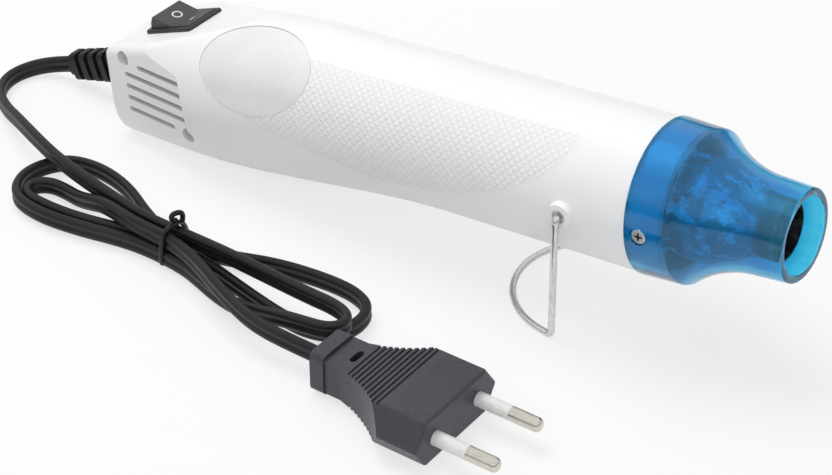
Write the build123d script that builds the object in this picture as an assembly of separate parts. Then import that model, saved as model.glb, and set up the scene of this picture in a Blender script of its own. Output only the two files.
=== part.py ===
from build123d import *
import math
import os

# Embossing heat tool: a slim hot air tool that rests on its belly and on a wire stand.
# Sizes are in millimetres. The tool is drawn about its barrel axis, nozzle towards +X and +Z up,
# with the rear rim of the nozzle at x = 0. It is then tilted nose up and set down on z = 0.
# The right side of the tool is -Y.

# Barrel and belly of the casing
barrel_radius = 20.75
casing_wall = 2.0
body_length = 180.0
neck_length = 60.0
belly_station = 146.0
belly_drop = 7.5
belly_half_width = 20.9
crown_dip = 2.5
crown_dip_start = 118.0
tail_rise = 1.0
rear_round = 5.0
tilt_angle = 4.9
rest_depth = 39.5
cut_overrun = 30.0

# Sloping top at the rear, which carries the switch
slope_angle = 16.5
slope_height = 5.2
slope_edge_round = 3.0

# Flat side panels at the rear, which carry the air inlet slots
panel_offset = 14.7
panel_angle = 7.75
panel_arc_radius = 30.0
panel_arc_station = 176.0
panel_arc_height = -8.0
slot_count = 5
slot_height = 1.6
slot_pitch = 3.8
slot_top_height = 2.4
slot_rear_station = 172.6
slot_margin = 1.0
first_slot_shorter = 6.0
last_slot_shorter = 7.0

# Casing screws, entered from the right side
casing_screw_stations = (172.6, 147.6)
casing_screw_heights = (3.4, -13.6)
well_radius = 2.3
pillar_radius = 3.7
screw_head_radius = 2.1
screw_head_height = 1.6
screw_shank_radius = 1.2
screw_length = 11.0
screw_clearance = 0.1
cross_width = 0.55
cross_length = 2.3
cross_depth = 0.8

# Front spigot of the casing and the nozzle that caps it
spigot_length = 9.0
spigot_wall = 2.0
nozzle_clearance = 0.1
nozzle_radius = 21.1
nozzle_wall = 1.8
collar_taper = 0.5
shoulder_round = 2.2
nozzle_length = 39.7
flare_radius = 27.5
throat_radius = 12.9
throat_station = 31.0
mouth_radius = 12.4
mouth_bore = 10.2
mouth_round = 0.6
nozzle_screw_station = 3.9
nozzle_screw_length = 5.0
nozzle_screw_sink = 0.4
nozzle_screw_head_height = 0.9

# Heat tube, mica lining and heating element
tube_radius = 13.6
tube_wall = 0.5
tube_rear = -46.0
tube_shoulder = 17.0
tube_taper_end = 30.0
tube_front = 35.0
tube_outlet_radius = 8.2
tube_flange_radius = 16.0
tube_flange_thickness = 1.0
lining_wall = 0.4
lining_clearance = 0.05
lining_length = 58.0
core_length = 54.0
core_thickness = 0.8
core_half_width = 9.4
core_notch = 1.2
core_end_length = 2.0
coil_wire_radius = 0.4
coil_turns = 20
coil_radius = 8.9
coil_pitch = 2.4
cutout_radius = 2.4
cutout_length = 8.0

# Seat that centres the heat tube in the casing
seat_thickness = 3.0
seat_clearance = 0.1
seat_bore = 12.0
seat_collar_length = 3.0
seat_collar_wall = 1.6

# Motor, its carrier, and the fan
motor_radius = 12.0
motor_length = 30.0
motor_front = -96.0
motor_clearance = 0.15
motor_nose_radius = 3.0
motor_nose_length = 1.8
motor_edge_round = 1.0
motor_terminal_width = 2.4
motor_terminal_thickness = 0.5
motor_terminal_length = 5.0
motor_terminal_offset = 8.0
shaft_radius = 1.0
shaft_reach = 13.0
shaft_inside = 20.0
shaft_clearance = 0.05
carrier_front = -103.0
carrier_length = 14.0
carrier_hub_wall = 1.5
carrier_rim_wall = 1.8
carrier_spoke_count = 3
carrier_spoke_width = 3.0
fan_radius = 17.4
fan_hub_radius = 6.0
fan_hub_length = 8.0
fan_hub_gap = 1.2
fan_blade_count = 9
fan_blade_thickness = 1.0
fan_blade_angle = 38.0
fan_blade_chord = 9.0

# Rectifier board behind the motor
board_radius = 10.5
board_thickness = 1.6
board_gap = 2.0
diode_radius = 1.3
diode_length = 5.0
diode_spacing = 4.2

# Rocker switch
bezel_length = 18.3
bezel_width = 15.0
bezel_height = 1.1
bezel_round = 0.6
bezel_centre_station = 161.2
housing_length = 17.0
housing_width = 13.8
housing_depth = 12.0
pocket_length = 16.6
pocket_width = 12.5
pocket_depth = 8.2
rocker_gap = 0.3
rocker_width = 12.0
rocker_half_angle = 14.0
rocker_pivot_depth = 2.2
rocker_pressed_height = 0.2
rocker_skirt = 2.6
rocker_foot_length = 7.0
rocker_end_height = 0.6
rocker_pin_radius = 1.0
rocker_pin_reach = 0.6
rocker_pin_clearance = 0.05
switch_hole_clearance = 0.15
terminal_width = 4.8
terminal_thickness = 0.8
terminal_length = 7.0
terminal_spacing = 7.0

# Strain relief and cord clamp
relief_length = 31.0
relief_droop = 13.5
relief_height_at_body = -8.2
relief_core_height = 8.0
relief_core_width = 5.0
relief_tip_height = 6.6
relief_tip_width = 4.2
rib_start = 1.8
rib_count = 7
rib_pitch = 4.1
rib_length = 2.2
rib_height = 10.6
rib_width = 6.8
rib_tip_height = 8.8
rib_tip_width = 6.0
relief_corner = 1.6
relief_flange = 1.6
relief_flange_lip = 1.4
relief_clearance = 0.1
clamp_length = 5.0
clamp_width = 13.0
clamp_height = 2.4
clamp_screw_spacing = 9.4
clamp_screw_radius = 1.3
clamp_screw_length = 7.0
clamp_cord_length = 12.0
clamp_head_radius = 2.2
clamp_head_height = 1.5

# Wire stand, a bail whose foot lies flat on the table
bail_wire_radius = 0.95
bail_station = 18.7
bail_boss_height = 1.7
bail_boss_radius = 4.0
bail_boss_taper = 0.5
bail_gap = 0.25
bail_pin_clearance = 0.05
bail_hole_mouth_radius = 1.9
bail_hole_mouth_depth = 1.2
bail_pin_reach = 1.2
bail_bend_radius = 1.5
bail_foot_lead = 2.0
bail_foot_turn = 9.0

# Oval label in its shallow recess on the right side
label_length = 38.0
label_width = 25.5
label_station = 124.5
label_turn = 40.0
label_skew = 6.0
label_thickness = 0.2
label_recess = 0.35
label_gap = 0.3

# Flat twin cord, standing on edge
cord_width = 5.2
cord_thickness = 2.8
lead_roll = 12.0
lead_straight = 6.0
corner_share = 0.45

# Route of the free lead from the strain relief to the hank, which starts with two points worked out below
lead_route = [
    (-136.3, -4.5, 2.9), (-138.7, -13.0, 2.6), (-134.2, -21.5, 2.6), (-125.2, -27.5, 3.2),
    (-113.7, -33.4, 6.4),
    (-102.7, -40.6, 8.9), (-90.2, -45.4, 8.9), (-77.2, -48.2, 8.9), (-63.7, -50.4, 8.9), (-49.7, -53.4, 8.9),
]

# Route of the tail from the hank to the plug, which ends with two points worked out below
tail_route = [
    (-26.2, -57.2, 8.9), (-19.5, -62.0, 8.9), (-12.0, -67.6, 8.9), (-3.0, -71.2, 8.6), (5.5, -72.3, 7.6),
]

# Hank: two loops laid over each other in two layers, with five passes at the waist
layer_heights = (3.25, 8.9)
waist_rear = -43.7
waist_front = -31.7
waist_middle = -53.8
waist_step = 3.7
upper_first_pass = -53.4
upper_last_pass = -57.2
climb_run = 16.0
climb_heading = 10.5

# Plan sizes of each turn of the hank: the station and offset of its shoulders, and the station of its end
front_upper_turn = (21.6, -55.2, 25.3, 8.0, -65.8)
front_upper_end_share = 0.3
front_lower_turn = (0.3, -41.7, 22.3, 7.3, -62.0)
turn_middle_share = 0.5
rear_outer_turn = (-78.7, -62.2, -96.0, -84.2, -36.2)
rear_inner_turn = (-79.2, -58.3, -89.2, -82.7, -47.3)
rear_run_station = -65.7
climb_start = (-73.7, -52.3)

# Tie round the waist of the hank
tie_station = -37.7
tie_band_width = 1.9
tie_thickness = 0.5
tie_clearance = 0.15
tie_corner = 1.5
tie_loop_radius = 2.2
tie_loop_wire = 0.6

# Plug with two round pins
plug_face_station = 69.1
plug_axis = -71.8
plug_thickness = 13.7
plug_width = 35.3
plug_top_width = 26.0
plug_nose_length = 11.8
plug_waist_length = 31.8
plug_length = 36.6
plug_tail_width = 12.4
plug_tail_height = 10.4
plug_side_radius = 34.0
plug_flange_length = 4.3
plug_flange_width = 13.4
plug_flange_height = 12.4
plug_round = 1.0
plug_slot_length = 5.0
plug_slot_width = 2.0
pin_spacing = 18.6
pin_radius = 2.0
pin_length = 19.0
pin_tip_round = 1.5
sleeve_length = 10.0
sleeve_wall = 0.35
pin_root = 3.0
ridge_count = 10
ridge_start = 14.6
ridge_pitch = 1.5
ridge_depth = 0.5
groove_share = 0.45

os.makedirs("parts", exist_ok=True)

# Ways that a solid grows from its place: up, down, ahead and back
from_below = (Align.CENTER, Align.CENTER, Align.MIN)
from_above = (Align.CENTER, Align.CENTER, Align.MAX)
from_rear = (Align.MIN, Align.CENTER, Align.CENTER)
from_front = (Align.MAX, Align.CENTER, Align.CENTER)

# Row frame of the tool: tilted nose up about the Y axis
to_table = Rot(0, -tilt_angle, 0)
across = Rot(90, 0, 0)
slope_rise = math.tan(math.radians(slope_angle))
panel_rise = math.tan(math.radians(panel_angle))


def ease(share):
    return share * share * (3 - 2 * share)


def bottom_line(station):
    """Distance of the casing's lowest line below the axis, at a station behind the rim."""
    if station <= neck_length:
        return barrel_radius
    if station <= belly_station:
        return barrel_radius + belly_drop * ease((station - neck_length) / (belly_station - neck_length))
    return barrel_radius + belly_drop - tail_rise * (station - belly_station) / (body_length - belly_station)


def top_line(station):
    if station <= crown_dip_start:
        return barrel_radius
    dipped = (station - crown_dip_start) / (belly_station - crown_dip_start)
    return barrel_radius - crown_dip * ease(min(1, dipped))


def half_width(station):
    share = min(1, max(0, (station - neck_length) / (belly_station - neck_length)))
    return barrel_radius + (belly_half_width - barrel_radius) * share


def casing_section(station, inset):
    high = top_line(station) - inset
    low = bottom_line(station) - inset
    plane = Plane(origin=(-station, 0, (high - low) / 2), x_dir=(0, 1, 0), z_dir=(-1, 0, 0))
    return plane * Ellipse(half_width(station) - inset, (high + low) / 2)


def slope_plane(raise_by=0.0):
    lift = raise_by / math.cos(math.radians(slope_angle))
    turned = (math.cos(math.radians(slope_angle)), 0, math.sin(math.radians(slope_angle)))
    up = (-math.sin(math.radians(slope_angle)), 0, math.cos(math.radians(slope_angle)))
    return Plane(origin=(-body_length, 0, slope_height + lift), x_dir=turned, z_dir=up)


def panel_plane(side, inset=0.0):
    """Plane of a side panel, facing out of the casing on side -1 (right) or +1 (left)."""
    middle_share = (body_length - panel_arc_station) * panel_rise
    shift = inset / math.cos(math.radians(panel_angle))
    angle = math.radians(panel_angle)
    return Plane(
        origin=(-panel_arc_station, side * (panel_offset + middle_share - shift), panel_arc_height),
        x_dir=(math.cos(angle), side * math.sin(angle), 0),
        z_dir=(-math.sin(angle), side * math.cos(angle), 0),
    )


def casing_block(inset):
    """The casing as one solid, drawn in by inset all round. The front end is left open-ended."""
    stations = [neck_length + (body_length - neck_length) * share for share in
                (0, 0.04, 0.17, 0.33, 0.48, 0.6, 0.72, 0.84, 1)]
    tail = loft([casing_section(station, inset) for station in stations])
    neck = Cylinder(barrel_radius - inset, neck_length, rotation=(0, 90, 0), align=from_above)
    block = neck + tail
    if inset:
        end = Pos(-body_length, 0, 0) * Box(inset, 2 * cut_overrun, 3 * cut_overrun, align=from_rear)
        block -= end
    top = slope_plane(-inset) * Box(2 * body_length, 3 * cut_overrun, cut_overrun, align=from_below)
    block -= top
    for side in (-1, 1):
        block -= panel_plane(side, inset) * Cylinder(panel_arc_radius - inset, cut_overrun, align=from_below)
    return block


def under_table(inset):
    """Block that flattens the underside where the tool rests."""
    below = Box(3 * body_length, 3 * cut_overrun, cut_overrun, align=from_above)
    return Rot(0, tilt_angle, 0) * Pos(0, 0, inset - rest_depth) * below



def along_x(radius, start, end):
    return Pos(start, 0, 0) * Cylinder(radius, end - start, rotation=(0, 90, 0), align=from_below)


def along_y(radius, x, z, start, end):
    """Cylinder across the tool, from y = start to y = end."""
    body = Cylinder(radius, abs(end - start), align=(Align.CENTER, Align.CENTER, Align.CENTER))
    return Pos(x, (start + end) / 2, z) * across * body


def ring(outside, inside, start, end):
    return along_x(outside, start, end) - along_x(inside, start, end)


def rounded_casing():
    block = casing_block(0)
    rear = block.faces().sort_by(Axis.X)[0]
    block = fillet(rear.edges().filter_by(GeomType.BSPLINE), rear_round)
    top = block.faces().filter_by(slope_plane()).sort_by(Axis.Z)[-1]
    return fillet(top.edges(), slope_edge_round) - under_table(0)


def panel_surface(station):
    """Distance of a side panel from the mid plane at a station."""
    return panel_offset + (body_length - station) * panel_rise


def slot_cutters():
    reach_radius = panel_arc_radius - slot_margin
    reach = Pos(-panel_arc_station, 0, panel_arc_height) * across * Cylinder(reach_radius, 2 * cut_overrun)
    cutters = []
    for index in range(slot_count):
        rear = slot_rear_station - (first_slot_shorter if index == 0 else 0)
        front = panel_arc_station - panel_arc_radius - slot_pitch
        if index == slot_count - 1:
            front = panel_arc_station - panel_arc_radius + last_slot_shorter
        middle = Plane.XZ * Pos(-(rear + front) / 2, slot_top_height - index * slot_pitch)
        slot = SlotOverall(rear - front, slot_height)
        cutters.append(extrude(middle * slot, cut_overrun, both=True) & reach)
    return cutters


def label_plane():
    """Plane over the label, facing out of the right side."""
    turn = math.radians(label_turn)
    outward = Vector(0, -math.cos(turn), math.sin(turn))
    plane = Plane(origin=(-label_station, 0, 0), x_dir=(1, 0, 0), z_dir=outward)
    return plane.rotated((0, 0, label_skew))


def label_oval(margin):
    oval = Ellipse(label_length / 2 + margin, label_width / 2 + margin)
    return extrude(label_plane() * oval, cut_overrun)


# Casing: two shells that meet on the mid plane
spigot_radius = nozzle_radius - nozzle_wall - nozzle_clearance
spigot_bore = spigot_radius - spigot_wall
spigot_root = casing_wall + spigot_wall
barrel_bore = barrel_radius - casing_wall
casing_full = rounded_casing()
cavity = casing_block(casing_wall) - under_table(casing_wall)
front_block = Box(cut_overrun, 2 * cut_overrun, 2 * cut_overrun, align=from_rear)
hollow = cavity - Pos(-spigot_root, 0, 0) * front_block
boss_face = barrel_radius + bail_boss_height
bail_pin_hole = bail_wire_radius + bail_pin_clearance

casing = casing_full + along_x(spigot_radius, -spigot_root, spigot_length)
casing -= hollow
casing -= along_x(spigot_bore, -spigot_root, spigot_length)
for cutter in slot_cutters():
    casing -= cutter
for side in (-1, 1):
    boss_end_radius = bail_boss_radius - bail_boss_taper
    boss = Cone(bail_boss_radius, boss_end_radius, boss_face - barrel_bore, align=from_below)
    casing += Pos(-bail_station, side * barrel_bore, 0) * Rot(-90 * side, 0, 0) * boss
    casing -= along_y(bail_pin_hole, -bail_station, 0, side * spigot_bore, side * boss_face)
    mouth_floor = boss_face - bail_hole_mouth_depth
    casing -= along_y(bail_hole_mouth_radius, -bail_station, 0, side * mouth_floor, side * boss_face)
    shank_hole = screw_shank_radius + screw_clearance
    casing -= along_y(shank_hole, nozzle_screw_station, 0, side * spigot_bore / 2, side * spigot_radius)

# Opening for the rocker switch and its seat on the slope
switch_height = slope_height + (body_length - bezel_centre_station) * slope_rise
on_slope = Plane(
    origin=(-bezel_centre_station, 0, switch_height), x_dir=slope_plane().x_dir, z_dir=slope_plane().z_dir)
switch_hole = Box(
    housing_length + 2 * switch_hole_clearance,
    housing_width + 2 * switch_hole_clearance,
    housing_depth,
    align=(Align.CENTER, Align.CENTER, Align.CENTER),
)
casing -= on_slope * switch_hole

# Hole for the strain relief
relief_hole = Box(
    3 * casing_wall,
    relief_core_width + 2 * relief_clearance,
    relief_core_height + 2 * relief_clearance,
)
casing -= Pos(-body_length, 0, relief_height_at_body) * relief_hole

# Shallow oval recess for the label
recess_body = casing_full - casing_block(label_recess)
casing -= recess_body & label_oval(label_gap)

for station, height in zip(casing_screw_stations, casing_screw_heights):
    pillar = along_y(pillar_radius, -station, height, -cut_overrun, cut_overrun) & casing_full
    seat = panel_surface(station) / 2
    casing += pillar
    casing -= along_y(well_radius, -station, height, -cut_overrun, -seat)
    shank_hole = screw_shank_radius + screw_clearance
    casing -= along_y(shank_hole, -station, height, -seat, screw_length - seat + screw_clearance)

half_space = Box(3 * body_length, cut_overrun, 3 * cut_overrun, align=(Align.CENTER, Align.MAX, Align.CENTER))
right_shell = casing & half_space
left_shell = casing - half_space

# Saddle and two posts in the left shell, where the cord is clamped
clamp_station = body_length - casing_wall - relief_flange - clamp_length
saddle_face = cord_thickness / 2 + relief_clearance / 2
post_radius = (clamp_screw_spacing - cord_width) / 2 - relief_clearance
saddle = Pos(-clamp_station, saddle_face, relief_height_at_body) * Box(
    clamp_length, cut_overrun, cord_width, align=(Align.CENTER, Align.MIN, Align.CENTER))
for end in (-1, 1):
    post_level = relief_height_at_body + end * clamp_screw_spacing / 2
    saddle += along_y(post_radius, -clamp_station, post_level, -saddle_face, cut_overrun)
left_shell += saddle & cavity
for end in (-1, 1):
    post_height = relief_height_at_body + end * clamp_screw_spacing / 2
    pilot = clamp_screw_radius + screw_clearance
    left_shell -= along_y(pilot, -clamp_station, post_height, -saddle_face, clamp_screw_length)

def cross_cut(depth):
    """Cross recess in a screw head whose outer face is at z = 0."""
    bar = Box(cross_length, cross_width, 2 * depth)
    return bar + Rot(0, 0, 90) * bar


def screw(head_radius, head_height, shank_radius, length):
    """Screw pointing down -z, with the underside of its head at z = 0."""
    body = Cylinder(head_radius, head_height, align=from_below)
    body = fillet(body.edges().sort_by(Axis.Z)[-1], head_height / 3)
    body += Cylinder(shank_radius, length, align=from_above)
    return body - Pos(0, 0, head_height) * cross_cut(cross_depth)


def from_side(side):
    """Turn a piece drawn pointing down -z so that it points inwards from side -1 (right) or +1 (left)."""
    return Rot(-90 * side, 0, 0)


# Screws that join the shells
shell_screws = []
for station, height in zip(casing_screw_stations, casing_screw_heights):
    seat = panel_surface(station) / 2
    item = screw(screw_head_radius, screw_head_height, screw_shank_radius, screw_length)
    shell_screws.append(Pos(-station, -seat, height) * from_side(-1) * item)

# Nozzle: a straight collar over the spigot, then a concave neck down to the mouth
flare_centre = throat_radius + flare_radius
collar_front_radius = nozzle_radius - collar_taper


def flare_station(radius, reach):
    return throat_station - math.sqrt(reach ** 2 - (flare_centre - radius) ** 2)


collar_bore = nozzle_radius - nozzle_wall
inner_reach = flare_radius + nozzle_wall
outer_corner = (flare_station(collar_front_radius, flare_radius), collar_front_radius)
inner_corner = (flare_station(collar_bore, inner_reach), collar_bore)
throat_outer = (throat_station, throat_radius)
throat_inner = (throat_station, throat_radius - nozzle_wall)
profile = make_face([
    Line((0, collar_bore), (0, nozzle_radius)),
    Line((0, nozzle_radius), outer_corner),
    RadiusArc(outer_corner, throat_outer, -flare_radius),
    Line(throat_outer, (nozzle_length, mouth_radius)),
    Line((nozzle_length, mouth_radius), (nozzle_length, mouth_bore)),
    Line((nozzle_length, mouth_bore), throat_inner),
    RadiusArc(throat_inner, inner_corner, inner_reach),
    Line(inner_corner, (0, collar_bore)),
])
shoulder = profile.vertices().sort_by_distance((outer_corner[0], outer_corner[1], 0))[0]
profile = fillet(shoulder, shoulder_round)
rims = profile.vertices().sort_by(Axis.X)[-2:]
profile = fillet(rims, mouth_round)
nozzle = revolve(profile, Axis.X)
head_recess = nozzle_screw_sink + nozzle_screw_head_height
nozzle_surface = nozzle_radius - collar_taper * nozzle_screw_station / outer_corner[0]
nozzle_screws = []
for side in (-1, 1):
    recess_floor = nozzle_surface - head_recess
    nozzle -= along_y(well_radius, nozzle_screw_station, 0, side * recess_floor, side * 2 * nozzle_surface)
    shank_hole = screw_shank_radius + screw_clearance
    nozzle -= along_y(shank_hole, nozzle_screw_station, 0, side * spigot_bore, side * recess_floor)
    item = screw(screw_head_radius, nozzle_screw_head_height, screw_shank_radius, nozzle_screw_length)
    nozzle_screws.append(Pos(nozzle_screw_station, side * recess_floor, 0) * from_side(side) * item)

# Heat tube: thin steel, flanged at the rear and drawn in to the outlet at the front
tube_bore = tube_radius - tube_wall
heat_tube = revolve(make_face(Polyline(
    (tube_rear, tube_bore), (tube_rear, tube_flange_radius),
    (tube_rear + tube_flange_thickness, tube_flange_radius), (tube_rear + tube_flange_thickness, tube_radius),
    (tube_shoulder, tube_radius), (tube_taper_end, tube_outlet_radius), (tube_front, tube_outlet_radius),
    (tube_front, tube_outlet_radius - tube_wall), (tube_taper_end, tube_outlet_radius - tube_wall),
    (tube_shoulder, tube_bore), close=True)), Axis.X)

# Mica sleeve inside the heat tube
lining_radius = tube_bore - lining_clearance
lining_bore = lining_radius - lining_wall
lining_front = tube_shoulder - core_end_length
lining_rear = lining_front - lining_length
mica_lining = ring(lining_radius, lining_bore, lining_rear, lining_front)

# Crossed mica plates with notched edges that carry the heating wire
core_front = lining_front - core_end_length
core_rear = core_front - core_length
coil_length = coil_turns * coil_pitch
coil_rear = (core_front + core_rear - coil_length) / 2
core_middle = (core_front + core_rear) / 2
plate = Rectangle(core_length, 2 * core_half_width)
for end in (-1, 1):
    core_end_width = 2 * (lining_bore - lining_clearance)
    plate += Pos(end * (core_length - core_end_length) / 2, 0) * Rectangle(core_end_length, core_end_width)
notch_floor = coil_radius - coil_wire_radius - lining_clearance
notch_reach = core_half_width - notch_floor
notch = Rectangle(core_notch, 2 * notch_reach)
level_plate = plate
upright_plate = plate
for turn in range(coil_turns + 1):
    start = coil_rear + turn * coil_pitch - core_middle
    level_plate -= Pos(start, core_half_width) * notch
    if turn < coil_turns:
        level_plate -= Pos(start + coil_pitch / 2, -core_half_width) * notch
        upright_plate -= Pos(start + coil_pitch / 4, core_half_width) * notch
        upright_plate -= Pos(start + 3 * coil_pitch / 4, -core_half_width) * notch
heater_core = extrude(level_plate, core_thickness / 2, both=True)
heater_core += Rot(90, 0, 0) * extrude(upright_plate, core_thickness / 2, both=True)
heater_core = Pos(core_middle, 0, 0) * heater_core


def biarc(start, start_way, finish, finish_way):
    """Two arcs that leave start along start_way and reach finish along finish_way."""
    way_in = start_way.normalized()
    way_out = finish_way.normalized()
    span = finish - start
    both = way_in + way_out
    bend = 2 * (way_in.dot(way_out) - 1)
    middle = -2 * span.dot(both)
    if abs(bend) < span.length / body_length / 1e6:
        reach = -span.dot(span) / middle
    else:
        reach = (-middle - math.sqrt(middle ** 2 - 4 * bend * span.dot(span))) / (2 * bend)
    joint = (start + way_in * reach + finish - way_out * reach) * 0.5
    first = Edge.make_tangent_arc(start, way_in, joint)
    return [first, Edge.make_tangent_arc(joint, first.tangent_at(1), finish)]


# Heating wire, wound round the crossed plates
coil_advance = coil_pitch / (2 * math.pi)
coil_edges = []


def coil_point(half_turn):
    angle = math.pi * half_turn
    along = coil_rear + coil_pitch * half_turn / 2
    return Vector(along, coil_radius * math.cos(angle), coil_radius * math.sin(angle))


def coil_way(half_turn):
    angle = math.pi * half_turn
    return Vector(coil_advance, -coil_radius * math.sin(angle), coil_radius * math.cos(angle)).normalized()


for half in range(2 * coil_turns):
    coil_edges += biarc(coil_point(half), coil_way(half), coil_point(half + 1), coil_way(half + 1))
coil_end = 2 * coil_turns
lead_length = 2 * coil_wire_radius
coil_start_lead = coil_point(0) - coil_way(0) * lead_length
coil_finish_lead = coil_point(coil_end) + coil_way(coil_end) * lead_length
coil_edges.insert(0, Edge.make_line(coil_start_lead, coil_point(0)))
coil_edges.append(Edge.make_line(coil_point(coil_end), coil_finish_lead))
coil_path = Wire(coil_edges)
coil_section = Plane(origin=coil_start_lead, z_dir=coil_way(0)) * Circle(coil_wire_radius)
heater_coil = sweep(coil_section, path=coil_path)

# Seat ring behind the heat tube, and the thermal cut-out on its rear face
seat_outside = barrel_bore - seat_clearance
seat_collar_bore = tube_flange_radius + seat_clearance
heater_seat = ring(seat_outside, seat_bore, tube_rear - seat_thickness, tube_rear)
collar_radius = seat_collar_bore + seat_collar_wall
heater_seat += ring(collar_radius, seat_collar_bore, tube_rear, tube_rear + seat_collar_length)
cutout_offset = (seat_bore + seat_outside) / 2
seat_back = tube_rear - seat_thickness
thermal_cutout = Pos(0, 0, -cutout_offset) * along_x(cutout_radius, seat_back - cutout_length, seat_back)

# Motor with its front bearing and two rear terminals
motor_rear = motor_front - motor_length
motor_case = along_x(motor_radius, motor_rear, motor_front)
motor_case = fillet(motor_case.edges().filter_by(GeomType.CIRCLE), motor_edge_round)
motor_case += along_x(motor_nose_radius, motor_front - motor_nose_length, motor_front + motor_nose_length)
bearing_end = motor_front + 2 * motor_nose_length
motor_case -= along_x(shaft_radius + shaft_clearance, motor_front - shaft_inside, bearing_end)
for side in (-1, 1):
    tab = Box(motor_terminal_length, motor_terminal_width, motor_terminal_thickness, align=from_front)
    motor_case += Pos(motor_rear, 0, side * motor_terminal_offset) * tab

# Motor shaft and fan, which turn together
motor_shaft = along_x(shaft_radius, motor_front - shaft_inside + shaft_clearance, motor_front + shaft_reach)
fan_rear = motor_front + motor_nose_length + fan_hub_gap
fan_front = fan_rear + fan_hub_length
fan = along_x(fan_hub_radius, fan_rear, fan_front)
fan = fillet(fan.edges().sort_by(Axis.X)[-1], fan_hub_gap)
blade = Box(fan_blade_chord, fan_blade_thickness, fan_radius, align=from_below)
blade = Rot(0, 0, fan_blade_angle) * blade
blade_space = along_x(fan_radius, fan_rear, fan_front)
blade_space -= along_x(fan_hub_radius - fan_hub_gap, fan_rear, fan_front)
for index in range(fan_blade_count):
    turned = Rot(360 * index / fan_blade_count, 0, 0) * blade
    fan += (Pos((fan_rear + fan_front) / 2, 0, 0) * turned) & blade_space
fan -= along_x(shaft_radius, fan_rear - fan_hub_gap, fan_front + fan_hub_gap)

# Motor carrier: a rim against the casing, three spokes, and a hub round the motor
carrier_rear = carrier_front - carrier_length
carrier_bore = motor_radius + motor_clearance
carrier_hub = carrier_bore + carrier_hub_wall
carrier_rim = barrel_bore - seat_clearance
motor_carrier = ring(carrier_hub, carrier_bore, carrier_rear, carrier_front)
motor_carrier += ring(carrier_rim, carrier_rim - carrier_rim_wall, carrier_rear, carrier_front)
spoke = Box(carrier_length, carrier_spoke_width, carrier_rim - carrier_bore - carrier_hub_wall / 2,
            align=(Align.MIN, Align.CENTER, Align.MIN))
spoke = Pos(carrier_rear, 0, carrier_bore + carrier_hub_wall / 2) * spoke
spoke = spoke & along_x(carrier_rim, carrier_rear, carrier_front)
for index in range(carrier_spoke_count):
    motor_carrier += Rot(360 * index / carrier_spoke_count, 0, 0) * spoke
motor_carrier &= casing_block(casing_wall + seat_clearance)

# Rectifier board on the motor terminals, with four diodes
board_front = motor_rear - board_gap
board_rear = board_front - board_thickness
rectifier_board = along_x(board_radius, board_rear, board_front)
for side in (-1, 1):
    rectifier_board -= Pos(board_front, 0, side * motor_terminal_offset) * Box(
        2 * motor_terminal_length,
        motor_terminal_width + 2 * screw_clearance,
        motor_terminal_thickness + 2 * screw_clearance)
rectifier_diodes = []
for index in range(-1, 3):
    height = (index - 0.5) * diode_spacing
    diode = along_y(diode_radius, board_rear - diode_radius, height, -diode_length / 2, diode_length / 2)
    rectifier_diodes.append(diode)

# Rocker switch: frame and pocket
housing = Box(housing_length, housing_width, housing_depth, align=from_above)
bezel = Box(bezel_length, bezel_width, bezel_height, align=from_below)
bezel = fillet(bezel.edges().filter_by(Axis.Z), 2 * bezel_round)
bezel = fillet(bezel.faces().sort_by(Axis.Z)[-1].edges(), bezel_round)
switch_housing = housing + bezel
pocket = Box(pocket_length, pocket_width, pocket_depth, align=from_above)
switch_housing -= Pos(0, 0, bezel_height) * pocket
pivot_height = bezel_height - rocker_pivot_depth
pin_hole_reach = housing_width / 2 + rocker_pin_clearance
pin_hole_radius = rocker_pin_radius + rocker_pin_clearance
switch_housing -= along_y(pin_hole_radius, 0, pivot_height, -pin_hole_reach, pin_hole_reach)
switch_housing = on_slope * switch_housing

# Rocker: a V-shaped key, pressed in at the front and raised at the rear
rocker_reach = pocket_length / 2 - rocker_gap
rocker_slope = math.tan(math.radians(rocker_half_angle))
rocker_centre = (rocker_pivot_depth + rocker_pressed_height) / math.cos(math.radians(rocker_half_angle))
key = make_face(Polyline(
    (0, rocker_centre),
    (2 * rocker_reach, rocker_centre + 2 * rocker_reach * rocker_slope),
    (rocker_reach, rocker_end_height),
    (rocker_foot_length / 2, -rocker_skirt),
    (-rocker_foot_length / 2, -rocker_skirt),
    (-rocker_reach, rocker_end_height),
    (-2 * rocker_reach, rocker_centre + 2 * rocker_reach * rocker_slope), close=True))
key = key & Circle(rocker_reach)
rocker = extrude(Plane.XZ * key, rocker_width / 2, both=True)
pin_tip = rocker_width / 2 + rocker_pin_reach
rocker += along_y(rocker_pin_radius, 0, 0, -pin_tip, pin_tip)
switch_rocker = on_slope * (Pos(0, 0, pivot_height) * (Rot(0, rocker_half_angle, 0) * rocker))

# Switch terminals under the frame
switch_terminals = []
for side in (-1, 1):
    blade_tab = Box(terminal_thickness, terminal_width, terminal_length, align=from_above)
    switch_terminals.append(on_slope * (Pos(side * terminal_spacing / 2, 0, -housing_depth) * blade_tab))

# Strain relief: a drooping ribbed sleeve, square-shouldered inside the rear wall
droop = math.radians(relief_droop)
relief_plane = Plane(
    origin=(-body_length, 0, relief_height_at_body),
    x_dir=(0, 1, 0),
    z_dir=(-math.cos(droop), 0, -math.sin(droop)))


def relief_section(width, height, distance):
    return relief_plane * Pos(0, 0, distance) * RectangleRounded(width, height, relief_corner)


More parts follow.
